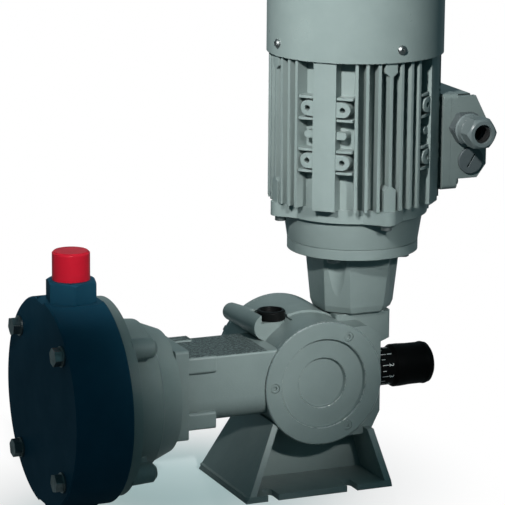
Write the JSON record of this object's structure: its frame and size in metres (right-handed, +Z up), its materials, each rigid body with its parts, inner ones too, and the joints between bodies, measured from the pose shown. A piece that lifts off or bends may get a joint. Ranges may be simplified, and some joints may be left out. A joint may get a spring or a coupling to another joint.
{
  "type": "diaphragm metering pump",
  "caption": "Motor-driven diaphragm metering pump: round dosing head with ball valves, worm gearbox on a flared foot, upright finned motor and a graduated stroke knob.",
  "frame": {"origin": "on the underside of the foot, below the crossing of the push rod axis and the gearbox axis", "axes": "+Z up along the motor shaft; +X along the push rod from the pump head towards the stroke knob; -Y towards the round side cover of the gearbox"},
  "size_m": [0.3766, 0.1768, 0.4355],
  "materials": {
    "head_plastic": "dark blue-black moulded plastic, satin",
    "casting_paint": "grey-green enamel over cast aluminium",
    "motor_paint": "grey-green enamel over die-cast aluminium",
    "sheet_paint": "grey-green enamel over pressed steel",
    "cap_red": "glossy red polyethylene",
    "knob_black": "black plastic with white graduations",
    "plug_black": "black plastic",
    "zinc_steel": "zinc-plated steel",
    "steel": "ground steel",
    "stainless": "polished stainless steel",
    "bronze": "machined bronze",
    "rubber": "black rubber",
    "ptfe": "white fluoropolymer",
    "copper": "varnished copper winding",
    "lamination": "electrical steel laminations",
    "rotor_metal": "laminated steel with cast cage",
    "sleeve_metal": "satin aluminium",
    "gland_grey": "grey polyamide",
    "box_plug": "dark grey polyamide",
    "board": "brown phenolic moulding"
  },
  "bodies": {
    "pump": {"pump_head": "head_plastic", "head_bolts": "zinc_steel", "head_washers": "zinc_steel", "discharge_valve_body": "head_plastic", "suction_valve_body": "head_plastic", "valve_seats": "ptfe", "valve_o_rings": "rubber", "head_carrier": "casting_paint", "carrier_screws": "zinc_steel", "rod_bush": "bronze", "gear_housing": "casting_paint", "side_cover": "casting_paint", "side_cover_screws": "zinc_steel", "rear_cover": "casting_paint", "rear_cover_screws": "zinc_steel", "drain_plug": "zinc_steel", "eccentric_bearings": "steel", "worm_bearings": "steel", "scale_sleeve": "sleeve_metal", "motor_adapter": "casting_paint", "adapter_screws": "zinc_steel", "motor_flange_bolts": "zinc_steel", "motor_front_shield": "motor_paint", "front_shield_bolts": "zinc_steel", "motor_housing": "motor_paint", "stator_core": "lamination", "stator_windings": "copper", "motor_bearings": "steel", "motor_rear_shield": "motor_paint", "fan_cover": "sheet_paint", "fan_cover_screws": "zinc_steel", "terminal_box_base": "motor_paint", "terminal_box_lid": "motor_paint", "lid_screws": "zinc_steel", "terminal_board": "board", "cable_gland": "box_plug", "gland_nut": "gland_grey", "blind_plug": "box_plug"},
    "discharge_ball": {"discharge_ball": "stainless"},
    "suction_ball": {"suction_ball": "stainless"},
    "discharge_cap": {"discharge_cap": "cap_red"},
    "suction_cap": {"suction_cap": "cap_red"},
    "filler_plug": {"filler_plug": "plug_black"},
    "push_rod": {"push_rod": "steel", "yoke": "steel", "diaphragm_clamp_disc": "ptfe", "diaphragm_plate": "sleeve_metal", "diaphragm": "ptfe", "return_spring": "steel"},
    "stop_pin": {"stop_pin": "steel"},
    "stroke_knob": {"stroke_knob": "knob_black", "adjusting_screw": "steel"},
    "motor_rotor": {"motor_shaft": "steel", "rotor": "rotor_metal", "cooling_fan": "plug_black", "shaft_coupling": "steel", "worm_shaft": "steel"},
    "eccentric": {"eccentric_shaft": "steel", "worm_wheel": "bronze", "eccentric_ring": "steel"}
  },
  "joints": [
    {"name": "motor_spin", "type": "hinge", "parent": "pump", "child": "motor_rotor", "pos_m": [0.047, 0.022, 0.29], "axis": [0, 0, 1], "continuous": true},
    {"name": "eccentric_spin", "type": "hinge", "parent": "pump", "child": "eccentric", "pos_m": [0, 0, 0.085], "axis": [0, 1, 0], "continuous": true},
    {"name": "stop_slide", "type": "slide", "parent": "pump", "child": "stop_pin", "axis": [1, 0, 0], "range_m": [0, 0.006]},
    {"name": "knob_turn", "type": "hinge", "parent": "stop_pin", "child": "stroke_knob", "pos_m": [0.08, 0, 0.085], "axis": [1, 0, 0], "range_deg": [0, 2170]},
    {"name": "rod_slide", "type": "slide", "parent": "pump", "child": "push_rod", "axis": [1, 0, 0], "range_m": [0, 0.00605], "deforming": ["diaphragm", "return_spring"]},
    {"name": "discharge_ball_lift", "type": "slide", "parent": "pump", "child": "discharge_ball", "axis": [0, 0, 1], "range_m": [0, 0.003]},
    {"name": "suction_ball_lift", "type": "slide", "parent": "pump", "child": "suction_ball", "axis": [0, 0, 1], "range_m": [0, 0.003]},
    {"name": "discharge_cap_pull", "type": "slide", "parent": "pump", "child": "discharge_cap", "axis": [0, 0, 1], "range_m": [0, 0.06]},
    {"name": "suction_cap_pull", "type": "slide", "parent": "pump", "child": "suction_cap", "axis": [0, 0, -1], "range_m": [0, 0.06]},
    {"name": "filler_plug_lift", "type": "slide", "parent": "pump", "child": "filler_plug", "axis": [0, 0, 1], "range_m": [0, 0.03]}
  ],
  "couplings": [
    {"joint": "eccentric_spin", "follows": "motor_spin", "ratio": 0.025641},
    {"joint": "knob_turn", "follows": "stop_slide", "rad_per_m": 6283.2},
    {"joint": "rod_slide", "follows": "stop_slide", "ratio": 1}
  ]
}
